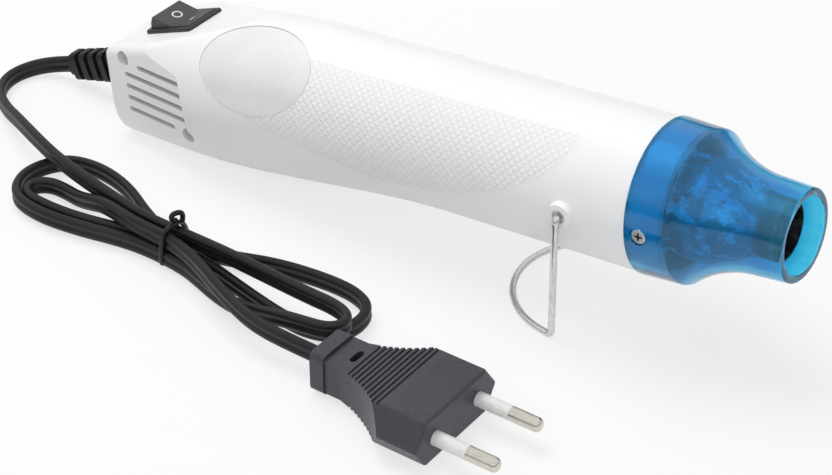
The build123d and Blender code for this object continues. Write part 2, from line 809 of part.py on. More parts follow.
strain_relief = loft([
    relief_section(relief_core_width, relief_core_height, 0),
    relief_section(relief_tip_width, relief_tip_height, relief_length),
])
for index in range(rib_count):
    share = index / (rib_count - 1)
    width = rib_width + (rib_tip_width - rib_width) * share
    height = rib_height + (rib_tip_height - rib_height) * share
    strain_relief += extrude(relief_section(width, height, rib_start + index * rib_pitch), rib_length)
inner_face = -body_length + casing_wall + relief_flange
strain_relief += Pos(-body_length, 0, relief_height_at_body) * Box(
    casing_wall + relief_flange, relief_core_width, relief_core_height, align=from_rear)
strain_relief += Pos(-body_length + casing_wall, 0, relief_height_at_body) * Box(
    relief_flange, relief_core_width + 2 * relief_flange_lip, relief_core_height + 2 * relief_flange_lip,
    align=from_rear)

# Clamp bar over the cord inside the casing, and its two screws
cord_section = SlotOverall(cord_width, cord_thickness)
cord_plane = Plane(origin=(inner_face, 0, relief_height_at_body), x_dir=(0, 0, 1), z_dir=(1, 0, 0))
inner_cord = extrude(cord_plane * cord_section, clamp_cord_length)
clamp_back = -saddle_face - clamp_height
cord_clamp = Pos(-clamp_station, -saddle_face, relief_height_at_body) * Box(
    clamp_length, clamp_height, clamp_width, align=(Align.CENTER, Align.MAX, Align.CENTER))
clamp_screws = []
for end in (-1, 1):
    height = relief_height_at_body + end * clamp_screw_spacing / 2
    clearance_hole = clamp_screw_radius + screw_clearance
    cord_clamp -= along_y(clearance_hole, -clamp_station, height, 2 * clamp_back, -saddle_face)
    item = screw(clamp_head_radius, clamp_head_height, clamp_screw_radius, clamp_screw_length)
    clamp_screws.append(Pos(-clamp_station, clamp_back, height) * from_side(-1) * item)

# Label in its recess
label = (casing_block(label_recess - label_thickness) - casing_block(label_recess)) & label_oval(0)

# Set the tool down: tilted, with the flat of its underside on z = 0

# Wire stand: pins in the bosses, upright legs, and a foot that is a near half circle and lies flat
pivot = (to_table * Pos(-bail_station, 0, 0)).position
pivot_above_table = pivot.Z + rest_depth
leg_line = boss_face + bail_gap + bail_wire_radius
pin_end = barrel_bore - bail_pin_reach
foot_height = bail_wire_radius - pivot_above_table
foot_start = -bail_bend_radius - bail_foot_lead
foot_half = leg_line + foot_start * math.tan(math.radians(bail_foot_turn))
foot_depth = foot_half * math.tan(math.radians(90 - bail_foot_turn) / 2)
right_leg = FilletPolyline(
    (0, -pin_end, 0), (0, -leg_line, 0), (0, -leg_line, foot_height), (foot_start, -foot_half, foot_height),
    radius=bail_bend_radius)
left_leg = FilletPolyline(
    (foot_start, foot_half, foot_height), (0, leg_line, foot_height), (0, leg_line, 0), (0, pin_end, 0),
    radius=bail_bend_radius)
foot = ThreePointArc(
    (foot_start, -foot_half, foot_height),
    (foot_start - foot_depth, 0, foot_height),
    (foot_start, foot_half, foot_height))
bail_path = Wire(list(right_leg.edges()) + list(foot.edges()) + list(left_leg.edges()))
bail = sweep(Plane(origin=(0, -pin_end, 0), z_dir=(0, -1, 0)) * Circle(bail_wire_radius), path=bail_path)
bail = Pos(pivot.X, 0, pivot_above_table) * bail

tool = {
    "right_shell": right_shell, "left_shell": left_shell, "shell_screws": shell_screws,
    "nozzle": nozzle, "nozzle_screws": nozzle_screws, "heat_tube": heat_tube, "mica_lining": mica_lining,
    "heater_core": heater_core, "heater_coil": heater_coil, "heater_seat": heater_seat,
    "thermal_cutout": thermal_cutout,
    "motor_case": motor_case, "motor_shaft": motor_shaft, "fan": fan, "motor_carrier": motor_carrier,
    "rectifier_board": rectifier_board, "rectifier_diodes": rectifier_diodes,
    "switch_housing": switch_housing, "switch_rocker": switch_rocker, "switch_terminals": switch_terminals,
    "strain_relief": strain_relief, "inner_cord": inner_cord, "cord_clamp": cord_clamp,
    "clamp_screws": clamp_screws,
    "label": label,
}
placed = {}
for name, item in tool.items():
    solids = item if isinstance(item, list) else [item]
    solids = [solid for piece in solids for solid in piece.solids()]
    placed[name] = Pos(0, 0, rest_depth) * to_table * Compound(solids)
placed["bail"] = bail
box = Compound(list(placed.values())).bounding_box()
shift = -(box.min.X + box.max.X) / 2
for name, item in placed.items():
    placed[name] = Pos(shift, 0, 0) * item


def corner_radii(points):
    """Radius at each corner of a route: as large as its two runs allow."""
    radii = []
    for before, corner, after in zip(points, points[1:], points[2:]):
        run_in = corner - before
        run_out = after - corner
        turn = math.radians(run_in.get_angle(run_out))
        radii.append(corner_share * min(run_in.length, run_out.length) / math.tan(turn / 2))
    return radii


def cord_face(start, way):
    """Cord section at start, square to way and standing on edge."""
    side = way.cross(Vector(0, 0, 1)).normalized()
    return Plane(origin=start, x_dir=side.cross(way), z_dir=way) * cord_section


def free_cord(name, points, roll):
    radii = corner_radii(points)
    path = FilletPolyline(*points, radius=radii)
    way = path.tangent_at(0)
    section = cord_face(points[0], way).rotate(Axis(points[0], way), roll)
    tube = sweep(section, path=Wire(path.edges()))
    print(name, "radii", [round(radius, 1) for radius in radii], "length", round(path.length, 1),
          "volume over section times length", round(tube.volume / cord_section.area / path.length, 4))
    return tube


def link(start, start_way, finish, finish_way):
    """A line or two arcs from one node of the hank to the next."""
    span = finish - start
    if span.cross(start_way).length < span.length / body_length:
        return [Edge.make_line(start, finish)]
    return biarc(start, start_way, finish, finish_way)


# Nodes of the hank, each a point and a heading
lower, upper = layer_heights
ahead = Vector(1, 0, 0)
back = Vector(-1, 0, 0)
away = Vector(0, 1, 0)
near = Vector(0, -1, 0)
climb_way = Vector(math.cos(math.radians(climb_heading)), -math.sin(math.radians(climb_heading)), 0)
climb_foot = Vector(climb_start[0], climb_start[1], lower)
climb_top = climb_foot + climb_way * climb_run + Vector(0, 0, upper - lower)


def front_turn(sizes, height, share):
    far_station, far_offset, end_station, near_station, near_offset = sizes
    middle = far_offset + (near_offset - far_offset) * share
    return [(Vector(far_station, far_offset, height), ahead), (Vector(end_station, middle, height), near),
            (Vector(near_station, near_offset, height), back)]


def rear_turn(sizes, height):
    near_station, near_offset, end_station, far_station, far_offset = sizes
    middle = near_offset + (far_offset - near_offset) * turn_middle_share
    return [(Vector(near_station, near_offset, height), back), (Vector(end_station, middle, height), away),
            (Vector(far_station, far_offset, height), ahead)]


def waist_pass(offset, height, heading):
    ends = [(Vector(waist_rear, offset, height), heading), (Vector(waist_front, offset, height), heading)]
    return ends if heading is ahead else ends[::-1]


descent_end = Vector(front_upper_turn[3] - climb_run, front_upper_turn[4], lower)
inner_run = Vector(rear_run_station, rear_inner_turn[1], lower)
outer_run = Vector(rear_run_station, rear_outer_turn[1], lower)
nodes = waist_pass(upper_first_pass, upper, ahead)
nodes += front_turn(front_upper_turn, upper, front_upper_end_share)
nodes += [(descent_end, back)]
nodes += waist_pass(waist_middle - waist_step, lower, back)
nodes += [(outer_run, back)]
nodes += rear_turn(rear_outer_turn, lower)
nodes += waist_pass(waist_middle + waist_step, lower, ahead)
nodes += front_turn(front_lower_turn, lower, turn_middle_share)
nodes += waist_pass(waist_middle, lower, back)
nodes += [(inner_run, back)]
nodes += rear_turn(rear_inner_turn, lower)
nodes += [(climb_foot, climb_way), (climb_top, climb_way)]
nodes += waist_pass(upper_last_pass, upper, ahead)
hank_edges = []
for (start, start_way), (finish, finish_way) in zip(nodes, nodes[1:]):
    hank_edges += link(start, start_way, finish, finish_way)
hank_path = Wire(hank_edges)
cord_hank = sweep(cord_face(nodes[0][0], ahead), path=hank_path)

# Least gap of the hank to itself, taken on points along its line
sample_count = int(hank_path.length / (cord_thickness / 4))
samples = [hank_path.position_at(index / sample_count) for index in range(sample_count + 1)]
spacing = hank_path.length / sample_count
skip = int(math.pi * cord_width / spacing)
upright = (cord_width - cord_thickness) / 2
least = body_length
for index, first in enumerate(samples):
    for second in samples[index + skip:]:
        gap_up = max(0, abs(first.Z - second.Z) - 2 * upright)
        gap = math.hypot(first.X - second.X, first.Y - second.Y, gap_up) - cord_thickness
        if gap < least:
            least = gap
            place = first
print("cord_hank length", round(hank_path.length, 1), "least gap to itself", round(least, 2), "at", place,
      "volume over section times length", round(cord_hank.volume / cord_section.area / hank_path.length, 4))

# Free lead from the tip of the strain relief to the hank
relief_end = relief_plane.origin + relief_plane.z_dir * relief_length
relief_tip = (Pos(shift, 0, rest_depth) * to_table * Pos(*relief_end)).position
relief_fall = math.radians(tilt_angle + relief_droop)
relief_way = Vector(-math.cos(relief_fall), 0, -math.sin(relief_fall))
lead_points = [relief_tip, relief_tip + relief_way * lead_straight]
lead_points += [Vector(*point) for point in lead_route]
lead_points += [Vector(waist_rear, upper_first_pass, upper)]
cord_lead = free_cord("cord_lead", lead_points, lead_roll)

# Tail from the hank to the flange of the plug
plug_height = plug_thickness / 2
plug_back = plug_face_station - plug_length - plug_flange_length
tail_points = [Vector(waist_front, upper_last_pass, upper)]
tail_points += [Vector(*point) for point in tail_route]
tail_points += [Vector(plug_back - 2 * lead_straight, plug_axis, plug_height)]
tail_points += [Vector(plug_back, plug_axis, plug_height)]
cord_tail = free_cord("cord_tail", tail_points, 0)

# Tie: a thin band round the waist with a small loop at its far top corner
low_edge = waist_middle - waist_step - cord_thickness / 2 - tie_clearance
high_edge = waist_middle + waist_step + cord_thickness / 2 + tie_clearance
upper_edge = upper_first_pass + cord_thickness / 2 + tie_clearance
bundle_top = upper + cord_width / 2 + tie_clearance
lower_top = lower + cord_width / 2 + tie_clearance
inside = make_face(Polyline(
    (low_edge, tie_thickness), (high_edge, tie_thickness), (high_edge, lower_top), (upper_edge, bundle_top),
    (low_edge, bundle_top), close=True))
inside = fillet(inside.vertices().filter_by(lambda corner: corner.Y > tie_thickness), tie_corner)
band = offset(inside, tie_thickness) - inside
tie_plane = Plane(origin=(tie_station, 0, 0), x_dir=(0, 1, 0), z_dir=(1, 0, 0))
cord_tie = extrude(tie_plane * band, tie_band_width / 2, both=True)
loop_height = bundle_top + tie_loop_radius + tie_loop_wire
tie_loop = Rot(90, 0, 0) * Torus(tie_loop_radius, tie_loop_wire)
cord_tie += Pos(tie_station, upper_edge - tie_corner, loop_height) * tie_loop

# Plug body: a flat six-sided nose that narrows to a ridged grip, a neck and a flange
half_top = plug_top_width / 2
half_wide = plug_width / 2
half_high = plug_thickness / 2
nose_section = Plane.YZ * Polygon(
    (-half_wide, 0), (-half_top, -half_high), (half_top, -half_high), (half_wide, 0), (half_top, half_high),
    (-half_top, half_high), align=None)
plug_full = extrude(nose_section, -plug_length)
plug_full = fillet(plug_full.edges(), plug_round)
half_tail = plug_tail_width / 2
plan = make_face([
    Line((0, -half_wide), (0, half_wide)),
    Line((0, half_wide), (-plug_nose_length, half_wide)),
    RadiusArc((-plug_nose_length, half_wide), (-plug_waist_length, half_tail), plug_side_radius),
    Line((-plug_waist_length, half_tail), (-plug_length, half_tail)),
    Line((-plug_length, half_tail), (-plug_length, -half_tail)),
    Line((-plug_length, -half_tail), (-plug_waist_length, -half_tail)),
    RadiusArc((-plug_waist_length, -half_tail), (-plug_nose_length, -half_wide), plug_side_radius),
    Line((-plug_nose_length, -half_wide), (0, -half_wide)),
])
half_neck = plug_tail_height / 2
side_view = make_face(Polyline(
    (0, -half_high), (0, half_high), (-plug_nose_length, half_high), (-plug_waist_length, half_neck),
    (-plug_length, half_neck), (-plug_length, -half_neck), (-plug_waist_length, -half_neck),
    (-plug_nose_length, -half_high), close=True))
plug_body = plug_full & extrude(plan, plug_thickness, both=True)
plug_body &= extrude(Plane.XZ * side_view, plug_width, both=True)
taper = math.atan((half_high - half_neck) / (plug_waist_length - plug_nose_length))
for index in range(ridge_count):
    distance = ridge_start + index * ridge_pitch
    drop = half_high - (distance - plug_nose_length) * math.tan(taper)
    groove = Box(ridge_pitch * groove_share, plug_width, 2 * ridge_depth)
    plug_body -= Pos(-distance, 0, drop) * groove
    plug_body -= Pos(-distance, 0, -drop) * groove
flange = Box(plug_flange_length, plug_flange_width, plug_flange_height, align=from_front)
flange = fillet(flange.edges().filter_by(Axis.X), 2 * plug_round)
plug_body += Pos(-plug_length, 0, 0) * flange
slot = extrude(Rot(0, 0, 90) * SlotOverall(plug_slot_length, plug_slot_width), plug_thickness, both=True)
plug_body -= Pos(-plug_waist_length + plug_slot_width / 2, 0, 0) * slot
plug_pins = []
pin_sleeves = []
for side in (-1, 1):
    offset_across = Pos(0, side * pin_spacing / 2, 0)
    core = pin_radius - sleeve_wall
    tip = along_x(pin_radius, sleeve_length, pin_length)
    tip = fillet(tip.edges().sort_by(Axis.X)[-1], pin_tip_round)
    plug_pins.append(offset_across * (along_x(core, -pin_root, sleeve_length) + tip))
    pin_sleeves.append(offset_across * ring(pin_radius, core, 0, sleeve_length))
    plug_body -= offset_across * along_x(core, -pin_root, 0)
at_plug = Pos(plug_face_station, plug_axis, plug_height)

placed["cord_lead"] = cord_lead
placed["cord_hank"] = cord_hank
placed["cord_tail"] = cord_tail
placed["cord_tie"] = cord_tie
placed["plug_body"] = at_plug * plug_body
placed["plug_pins"] = Compound([solid for pin in plug_pins for solid in (at_plug * pin).solids()])
placed["pin_sleeves"] = Compound([solid for sleeve in pin_sleeves for solid in (at_plug * sleeve).solids()])
for name, item in placed.items():
    export_step(item, f"parts/{name}.step")
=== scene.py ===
import math

import bmesh
import bpy
from mathutils import Matrix, Vector
from mathutils.bvhtree import BVHTree


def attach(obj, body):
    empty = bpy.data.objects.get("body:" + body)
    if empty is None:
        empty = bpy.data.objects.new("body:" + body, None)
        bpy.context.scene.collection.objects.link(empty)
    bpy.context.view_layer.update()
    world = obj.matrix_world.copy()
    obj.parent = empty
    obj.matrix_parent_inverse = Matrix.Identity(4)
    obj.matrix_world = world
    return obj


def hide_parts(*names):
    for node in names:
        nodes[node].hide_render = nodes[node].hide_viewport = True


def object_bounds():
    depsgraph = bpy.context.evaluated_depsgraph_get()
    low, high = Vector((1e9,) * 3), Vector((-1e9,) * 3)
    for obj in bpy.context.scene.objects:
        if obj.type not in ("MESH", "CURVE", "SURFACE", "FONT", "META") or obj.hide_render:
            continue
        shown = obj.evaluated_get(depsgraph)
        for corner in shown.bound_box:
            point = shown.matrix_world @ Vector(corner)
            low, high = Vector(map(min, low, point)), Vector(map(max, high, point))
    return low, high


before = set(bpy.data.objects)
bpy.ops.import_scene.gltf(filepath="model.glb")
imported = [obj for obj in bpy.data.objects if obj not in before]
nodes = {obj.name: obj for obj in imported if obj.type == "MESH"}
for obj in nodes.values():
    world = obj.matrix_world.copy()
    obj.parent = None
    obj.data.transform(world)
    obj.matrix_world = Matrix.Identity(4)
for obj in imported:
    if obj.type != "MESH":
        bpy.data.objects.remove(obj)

cad_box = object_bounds()


# Casing: two white moulded shells that meet on the middle plane, held by two screws.
# The plastic is satin with a fine grain. A knurled field wraps each side of the barrel, from behind
# the label to a curved edge near the wire stand, and gives the hand its grip.
class Paint:
    """A socket of a material's nodes, with the sums that shader maths needs."""

    def __init__(self, tree, socket):
        self.tree = tree
        self.socket = socket

    def make(self, kind, settings=None, sockets=None, out=0):
        """Adds a node, sets it up, feeds its sockets and returns one of its outputs."""
        node = self.tree.nodes.new(kind)
        for name, value in (settings or {}).items():
            setattr(node, name, value)
        for name, value in (sockets or {}).items():
            if isinstance(value, Paint):
                self.tree.links.new(value.socket, node.inputs[name])
            else:
                node.inputs[name].default_value = value
        return Paint(self.tree, node.outputs[out])

    def math(self, operation, *others):
        return self.make("ShaderNodeMath", {"operation": operation}, dict(enumerate((self, *others))))

    def __add__(self, other):
        return self.math("ADD", other)

    def __sub__(self, other):
        return self.math("SUBTRACT", other)

    def __rsub__(self, other):
        return self.make("ShaderNodeMath", {"operation": "SUBTRACT"}, {0: other, 1: self})

    def __mul__(self, other):
        return self.math("MULTIPLY", other)

    def __truediv__(self, other):
        return self.math("DIVIDE", other)

    __radd__ = __add__
    __rmul__ = __mul__

    def step(self, low, high):
        """0 below low and 1 above high, smooth between them."""
        return self.make("ShaderNodeMapRange", {"interpolation_type": "SMOOTHSTEP"},
                         {"Value": self, "From Min": low, "From Max": high})

    def noise(self, scale, detail=2.0, roughness=0.5):
        sockets = {"Vector": self, "Scale": scale, "Detail": detail, "Roughness": roughness}
        return self.make("ShaderNodeTexNoise", {}, sockets)

    def blend(self, first, second):
        """The first colour where this is 0, the second where it is 1."""
        return self.make("ShaderNodeMix", {"data_type": "RGBA"}, {0: self, 6: first, 7: second}, 2)

    def bump(self, depth, strength=1.0):
        return self.make("ShaderNodeBump", {}, {"Height": self, "Distance": depth, "Strength": strength})


def socket_name(word):
    return word.replace("_", " ").title().replace("Ior", "IOR")


def finish(name, **settings):
    """A new material, its shader with those settings, and the place that its patterns are drawn from."""
    material = bpy.data.materials.new(name)
    material.use_nodes = True
    shader = next(node for node in material.node_tree.nodes if node.type == "BSDF_PRINCIPLED")
    for socket, value in settings.items():
        shader.inputs[socket_name(socket)].default_value = value
    tree = material.node_tree
    place = Paint(tree, tree.nodes.new("ShaderNodeTexCoord").outputs["Object"])
    return material, shader, place


def feed(shader, **links):
    for socket, paint in links.items():
        paint.tree.links.new(paint.socket, shader.inputs[socket_name(socket)])


def dress(node, material):
    nodes[node].data.materials.clear()
    nodes[node].data.materials.append(material)


mm = 0.001
tilt = math.radians(4.9)
rear_rim = Vector((84.265, 0, 39.5)) * mm
barrel_radius = 20.75 * mm
knurl_pitch = 2.4 * mm
knurl_depth = 0.2 * mm
knurl_top = 60.0
knurl_centre = Vector((-100 * mm, 60.0))
knurl_reach = Vector((82 * mm, 87.0))
knurl_rear_station = -139 * mm
knurl_rear_end = -124 * mm
knurl_rear_angle = 6.0
knurl_rear_slope = -0.49 / mm


def tool_place(place):
    """Coordinates along, across and above the tool's barrel axis, which is tilted nose up."""
    return place.make("ShaderNodeMapping", {"vector_type": "TEXTURE"},
                      {"Vector": place, "Location": rear_rim, "Rotation": (0, -tilt, 0)})


def split(place):
    parts = place.make("ShaderNodeSeparateXYZ", {}, {"Vector": place})
    outputs = parts.socket.node.outputs
    return [Paint(parts.tree, outputs[index]) for index in range(3)]


def white_plastic():
    material, shader, place = finish("white_satin_plastic", ior=1.48, coat_roughness=0.25)
    station, across, height = split(tool_place(place))
    angle = height.math("ARCTAN2", across.math("ABSOLUTE")) * math.degrees(1)
    arc = angle * (math.pi / 180 * barrel_radius)
    first = ((station + arc) / knurl_pitch).math("PINGPONG", 0.5)
    second = ((station - arc) / knurl_pitch).math("PINGPONG", 0.5)
    stud = first.math("MINIMUM", second).step(0.0, 0.3)
    along = (station - knurl_centre[0]) / knurl_reach[0]
    around = (angle - knurl_centre[1]) / knurl_reach[1]
    inside = 1 - (along * along + around * around).step(0.97, 1.01)
    below_top = 1 - angle.step(knurl_top - 1, knurl_top + 1)
    rear_edge = knurl_rear_angle + (station - knurl_rear_station) * knurl_rear_slope
    above_rear = (angle - rear_edge).step(-1, 1)
    ahead_of_rear = station.step(knurl_rear_end, knurl_rear_end + mm)
    field = inside * below_top * above_rear * ahead_of_rear
    grain = place.noise(2600.0, 2.0)
    clouds = place.noise(24.0, 3.0)
    # Painted shade: the knurl's grooves between the studs are painted darker, as shade in them, mixed with
    # faint random clouds of tone
    painted_groove_shade_and_clouds = field * (1 - stud) * 0.3 + clouds.step(0.35, 0.7) * 0.1
    feed(shader,
         base_color=painted_groove_shade_and_clouds.blend((0.86, 0.865, 0.875, 1), (0.68, 0.69, 0.71, 1)),
         roughness=0.34 + grain * 0.12 + field * 0.05,
         coat_weight=0.12 - field * 0.08,
         normal=(stud * field + grain * 0.05).bump(knurl_depth, 0.65))
    return material


white = white_plastic()
dress("right_shell", white)
dress("left_shell", white)


# Screws: zinc plated cross head screws in the wells of the casing, at the nozzle's collar and at the
# cord clamp. Their plating is brushed and a little uneven.
def plated_metal(name, light, dark, rough, scale, stretch=(1, 1, 6)):
    material, shader, place = finish(name, metallic=1.0)
    streak = place.make("ShaderNodeMapping", {}, {"Vector": place, "Scale": stretch}).noise(scale, 3.0)
    cloud = place.noise(scale / 12, 2.0)
    mask = streak.step(0.3, 0.7) * 0.6 + cloud.step(0.3, 0.7) * 0.4
    feed(shader, base_color=mask.blend((*light, 1), (*dark, 1)), roughness=rough + streak * 0.16,
         normal=streak.bump(0.02 * mm, 0.5))
    return material


zinc = plated_metal(
    "zinc_plate", light=(0.92, 0.91, 0.88), dark=(0.70, 0.68, 0.65),
    rough=0.22, scale=900.0)
dress("shell_screws", zinc)
dress("clamp_screws", zinc)
cross_depth = 0.25 * mm


def crossed_zinc():
    """The zinc of the two nozzle screws, with painted shade down in the cross of each head."""
    material, shader, place = finish("zinc_plate_cross", metallic=1.0)
    crown = max(abs(point.co.y) for point in nodes["nozzle_screws"].data.vertices)
    # Painted shade: the recess of each cross is painted near black
    painted_cross_shade = 1 - split(place)[1].math("ABSOLUTE").step(crown - cross_depth, crown - cross_depth / 2)
    brushed = place.noise(900.0, 3.0)
    plate = brushed.blend((0.94, 0.93, 0.90, 1), (0.74, 0.72, 0.69, 1))
    feed(shader, base_color=painted_cross_shade.blend(plate, (0.10, 0.10, 0.10, 1)), roughness=0.2 + brushed * 0.16,
         normal=brushed.bump(0.02 * mm, 0.5))
    return material


dress("nozzle_screws", crossed_zinc())


# Nozzle: one heat-resistant moulding in clear blue plastic, with a flared shoulder and a turned mouth.
# The white casing and the metal heat tube show through it, and its mould left faint waves on its wall.
mouth_bore = 10.6 * mm
mouth_margin = 0.4 * mm
mouth_fade = 0.6 * mm
mouth_start = 33 * mm
mouth_end = 38 * mm


def blue_plastic():
    material, shader, place = finish("clear_blue_plastic", ior=1.46, transmission_weight=0.9,
                                     specular_ior_level=0.25, coat_weight=0.04)
    station, across, height = split(tool_place(place))
    wave = place.noise(60.0, 2.0)
    flow = place.make("ShaderNodeMapping", {}, {"Vector": place, "Scale": (1, 5, 5)}).noise(90.0, 3.0)
    depth = flow.step(0.35, 0.7) * 0.6 + wave.step(0.35, 0.7) * 0.4
    body = depth.blend((0.030, 0.48, 0.80, 1), (0.013, 0.38, 0.71, 1))
    radius = (across * across + height * height).math("SQRT")
    inner_edge = mouth_bore + mouth_margin
    # Painted light: the bore of the mouth is painted a pale bright cyan, for the light that comes through
    # the wall
    painted_mouth_light = station.step(mouth_start, mouth_end) * (1 - radius.step(inner_edge, inner_edge + mouth_fade))
    feed(shader, base_color=painted_mouth_light.blend(body, (0.20, 0.80, 0.99, 1)), roughness=0.03 + flow * 0.06,
         normal=(wave * 0.8 + flow * 0.2).bump(0.3 * mm, 0.25))
    return material


dress("nozzle", blue_plastic())


# Heater: a thin steel tube lined with mica holds a coil of bare wire round two crossed mica plates.
# It shows through the nozzle and down its mouth, and towards its front end it is darkened to near black.
front_dark_start = 30 * mm
front_dark_stop = 35 * mm
front_dark_wander = 6 * mm


def heater_tube_steel():
    material, shader, place = finish("heater_tube_steel")
    station = split(tool_place(place))[0]
    wave = place.noise(70.0, 3.0)
    warp = place.make("ShaderNodeVectorMath", {"operation": "ADD"}, {0: place, 1: wave * 0.01})
    crease = warp.make("ShaderNodeTexVoronoi", {"feature": "F1"}, {"Vector": warp, "Scale": 150.0})
    # The tube turns near black towards its front end, along a wandering edge
    front_darkening = (station + wave * front_dark_wander).step(front_dark_start, front_dark_stop)
    # Painted highlights: white streaks on the tube stand for the glints of its crumpled foil, and the dark
    # grey steel between them is partly painted shade
    stretched = place.make("ShaderNodeMapping", {}, {"Vector": place, "Scale": (0.8, 1.5, 1.5)})
    painted_glint = stretched.noise(190.0, 4.0, 0.6).step(0.47, 0.64)
    painted_glint_and_shade = painted_glint.blend((0.34, 0.35, 0.37, 1), (0.99, 0.99, 0.98, 1))
    feed(shader, base_color=front_darkening.blend(painted_glint_and_shade, (0.05, 0.048, 0.05, 1)), metallic=0.8 - painted_glint * 0.65,
         roughness=0.12 + wave * 0.2, normal=crease.bump(1.1 * mm, 0.8))
    return material


def flecked(name, light, dark, rough, scale, depth, metallic=0.0):
    """A dull moulded or pressed material with fine flecks."""
    material, shader, place = finish(name, metallic=metallic)
    fleck = place.noise(scale, 4.0, 0.6)
    cloud = place.noise(scale / 30, 2.0)
    mask = fleck.step(0.35, 0.68) * 0.7 + cloud.step(0.3, 0.7) * 0.3
    feed(shader, base_color=mask.blend((*light, 1), (*dark, 1)), roughness=rough + fleck * 0.14 - 0.07,
         normal=fleck.bump(depth, 0.7))
    return material


dress("heat_tube", heater_tube_steel())
mica = flecked(
    "mica_sheet", light=(0.74, 0.68, 0.55), dark=(0.56, 0.49, 0.36),
    rough=0.42, scale=900.0, depth=0.03 * mm)
dress("mica_lining", mica)
dress("heater_core", mica)
dress("heater_coil", plated_metal(
    "heating_wire", light=(0.46, 0.42, 0.39), dark=(0.24, 0.22, 0.22),
    rough=0.34, scale=1200.0))
dress("heater_seat", flecked(
    "heater_moulding", light=(0.80, 0.77, 0.70), dark=(0.68, 0.65, 0.58),
    rough=0.6, scale=700.0, depth=0.05 * mm))
dress("thermal_cutout", flecked(
    "cutout_case", light=(0.05, 0.05, 0.05), dark=(0.03, 0.03, 0.03),
    rough=0.4, scale=800.0, depth=0.03 * mm))


# Motor, fan and rectifier: a plated steel can on a spoked ring, a black nine-bladed fan pressed on
# its shaft, and four diodes on a small brown board at its rear. The slots show a little of them.
steel = plated_metal(
    "plated_can", light=(0.66, 0.66, 0.65), dark=(0.50, 0.50, 0.50),
    rough=0.26, scale=700.0)
dress("motor_case", steel)
dress("motor_shaft", steel)
dress("fan", flecked(
    "fan_moulding", light=(0.05, 0.05, 0.055), dark=(0.03, 0.03, 0.033),
    rough=0.45, scale=700.0, depth=0.03 * mm))
dress("motor_carrier", flecked(
    "carrier_moulding", light=(0.76, 0.75, 0.72), dark=(0.66, 0.65, 0.62),
    rough=0.5, scale=600.0, depth=0.03 * mm))
dress("rectifier_board", flecked(
    "board_laminate", light=(0.46, 0.33, 0.17), dark=(0.34, 0.23, 0.11),
    rough=0.48, scale=900.0, depth=0.03 * mm))
dress("rectifier_diodes", flecked(
    "diode_case", light=(0.04, 0.04, 0.04), dark=(0.02, 0.02, 0.02),
    rough=0.3, scale=900.0, depth=0.02 * mm))


# Switch: a glossy black housing snapped into the casing's slope, with a dark grey rocker.
# A white ring and a white bar, printed on the two ends of the rocker, mean off and on.
dress("switch_housing", flecked(
    "switch_gloss", light=(0.022, 0.022, 0.024), dark=(0.013, 0.013, 0.014),
    rough=0.24, scale=1500.0, depth=0.012 * mm))
dress("switch_rocker", flecked(
    "rocker_satin", light=(0.050, 0.050, 0.054), dark=(0.034, 0.034, 0.037),
    rough=0.42, scale=1800.0, depth=0.03 * mm))
dress("switch_terminals", plated_metal(
    "tinned_blade", light=(0.74, 0.71, 0.65), dark=(0.60, 0.57, 0.52),
    rough=0.25, scale=800.0))
ring_place = (-79.9 * mm, 0)
bar_place = (-73.7 * mm, -0.6 * mm)
ring_radius = 1.6 * mm
ring_segments = 40
print_line = 0.42 * mm
bar_length = 2.2 * mm
print_thickness = 0.03 * mm


def printed_white():
    material, shader, place = finish("white_print")
    wear = place.noise(1500.0, 3.0)
    feed(shader, base_color=wear.step(0.3, 0.75).blend((0.82, 0.82, 0.80, 1), (0.66, 0.66, 0.65, 1)),
         roughness=0.45 + wear * 0.15)
    return material


def lay_print(name, mesh, node, place, body, material):
    """Lays a flat print on the face of a node that is below its place."""
    tree = BVHTree.FromObject(nodes[node], bpy.context.evaluated_depsgraph_get())
    spot, facing = tree.ray_cast(Vector((*place, cad_box[1][2])), Vector((0, 0, -1)))[:2]
    sideways = Vector((0, 1, 0))
    along = sideways.cross(facing).normalized()
    turn = Matrix((along, sideways, facing)).transposed().to_4x4()
    mesh.transform(Matrix.Translation(spot + facing * print_thickness / 3) @ turn)
    data = bpy.data.meshes.new(name)
    bmesh.ops.recalc_face_normals(mesh, faces=mesh.faces)
    mesh.to_mesh(data)
    mesh.free()
    data.materials.append(material)
    piece = bpy.data.objects.new(name, data)
    bpy.context.scene.collection.objects.link(piece)
    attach(piece, body)


def thicken(mesh):
    up = bmesh.ops.extrude_face_region(mesh, geom=mesh.faces[:])
    points = [item for item in up["geom"] if isinstance(item, bmesh.types.BMVert)]
    bmesh.ops.translate(mesh, verts=points, vec=(0, 0, print_thickness))


white_print = printed_white()
ring = bmesh.new()
for radius in (ring_radius, ring_radius - print_line):
    bmesh.ops.create_circle(ring, segments=ring_segments, radius=radius)
bmesh.ops.bridge_loops(ring, edges=ring.edges[:])
thicken(ring)
lay_print("off_ring", ring, "switch_rocker", ring_place, "rocker", white_print)
bar = bmesh.new()
bmesh.ops.create_grid(bar, x_segments=1, y_segments=5, size=0.5)
bmesh.ops.scale(bar, verts=bar.verts, vec=(print_line, bar_length, 1))
thicken(bar)
lay_print("on_bar", bar, "switch_rocker", bar_place, "rocker", white_print)


# Label: a thin oval plate in a shallow recess, left blank. It is satin silver, finely brushed along
# its length and a little cloudy.
def blank_silver():
    material, shader, place = finish("blank_silver", metallic=0.12)
    brushed = place.make("ShaderNodeMapping", {}, {"Vector": place, "Scale": (1, 10, 10)}).noise(300.0, 3.0)
    cloud = place.noise(90.0, 3.0)
    mask = brushed.step(0.25, 0.75) * 0.5 + cloud.step(0.3, 0.75) * 0.5
    feed(shader, base_color=mask.blend((0.82, 0.82, 0.81, 1), (0.74, 0.74, 0.73, 1)),
         roughness=0.26 + brushed * 0.12, normal=brushed.bump(0.008 * mm, 0.5))
    return material


dress("label", blank_silver())


